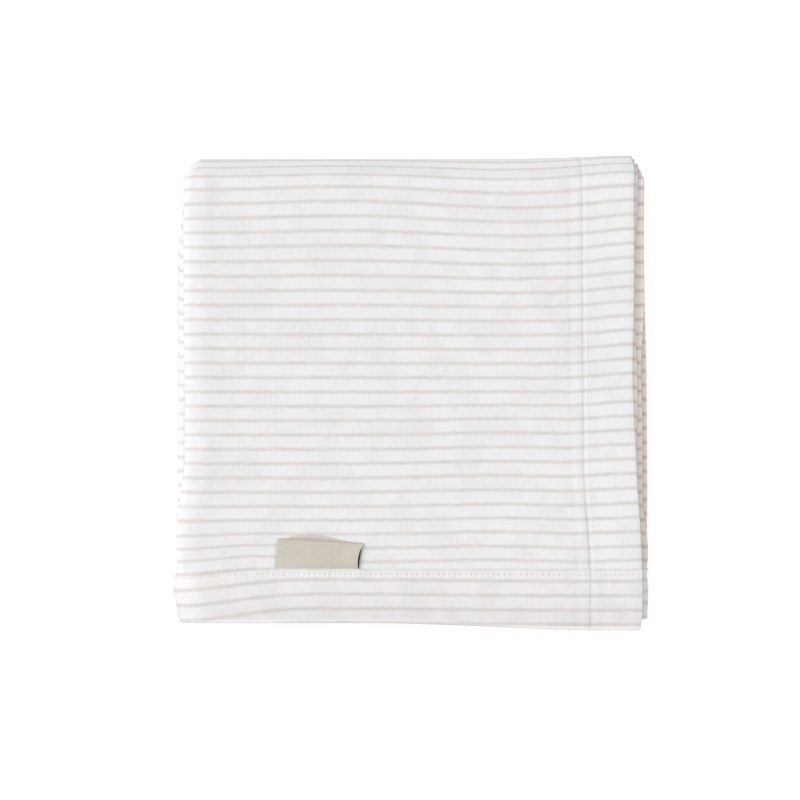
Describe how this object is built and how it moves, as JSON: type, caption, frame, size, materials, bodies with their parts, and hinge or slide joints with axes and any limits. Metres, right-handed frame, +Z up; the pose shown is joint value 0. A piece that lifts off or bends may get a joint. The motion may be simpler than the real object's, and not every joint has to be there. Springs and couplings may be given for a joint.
{
  "type": "folded baby wrap blanket",
  "caption": "Square striped knitted baby wrap with turned hems, folded flat into a square packet that opens at its last fold, with a small blank tape label under one hem",
  "frame": {"origin": "middle of the packet's bottom face, on the surface that it lies on", "axes": "+X across the packet to the side with the hem edges, +Y to the last fold, +Z up"},
  "size_m": [0.255, 0.254, 0.0282],
  "materials": {
    "cloth": "matte fine rib knit, white with thin warm grey stripes",
    "thread": "matte white sewing thread",
    "label_tape": "matte greige woven tape"
  },
  "bodies": {
    "lower_half": {"bottom_leaf": "cloth", "second_leaf": "cloth", "lower_fold": "cloth", "inner_fold": "cloth", "outer_fold": "cloth", "right_hem_bottom_leaf": "cloth", "right_hem_second_leaf": "cloth", "right_hem_lower_fold": "cloth", "right_hem_inner_fold": "cloth", "right_hem_outer_fold": "cloth", "left_hem_bottom_leaf": "cloth", "left_hem_second_leaf": "cloth", "left_hem_lower_fold": "cloth", "left_hem_inner_fold": "cloth", "left_hem_outer_fold": "cloth", "side_thread_bottom_leaf": "thread", "side_thread_second_leaf": "thread", "side_thread_lower_fold": "thread", "side_thread_inner_fold": "thread", "side_thread_outer_fold": "thread"},
    "upper_half": {"third_leaf": "cloth", "top_leaf": "cloth", "right_hem_third_leaf": "cloth", "right_hem_top_leaf": "cloth", "left_hem_third_leaf": "cloth", "left_hem_top_leaf": "cloth", "near_hem_top_ply": "cloth", "near_hem_second_ply": "cloth", "near_hem_third_ply": "cloth", "near_hem_bottom_ply": "cloth", "far_hem_bottom_ply": "cloth", "far_hem_second_ply": "cloth", "far_hem_third_ply": "cloth", "far_hem_top_ply": "cloth", "side_thread_third_leaf": "thread", "side_thread_top_leaf": "thread", "near_thread": "thread", "far_thread": "thread", "label_ends": "label_tape"},
    "label": {"label_loop": "label_tape"}
  },
  "joints": [
    {"name": "last_fold_open", "type": "hinge", "parent": "lower_half", "child": "upper_half", "pos_m": [0, 0.11357, 0.01342], "axis": [-1, 0, 0], "range_deg": [0, 179], "deforming": ["inner_fold", "outer_fold", "right_hem_inner_fold", "right_hem_outer_fold", "left_hem_inner_fold", "left_hem_outer_fold", "side_thread_inner_fold", "side_thread_outer_fold"]},
    {"name": "label_flip", "type": "hinge", "parent": "upper_half", "child": "label", "pos_m": [-0.0515, -0.0967, 0.02805], "axis": [1, 0, 0], "range_deg": [0, 165]}
  ]
}
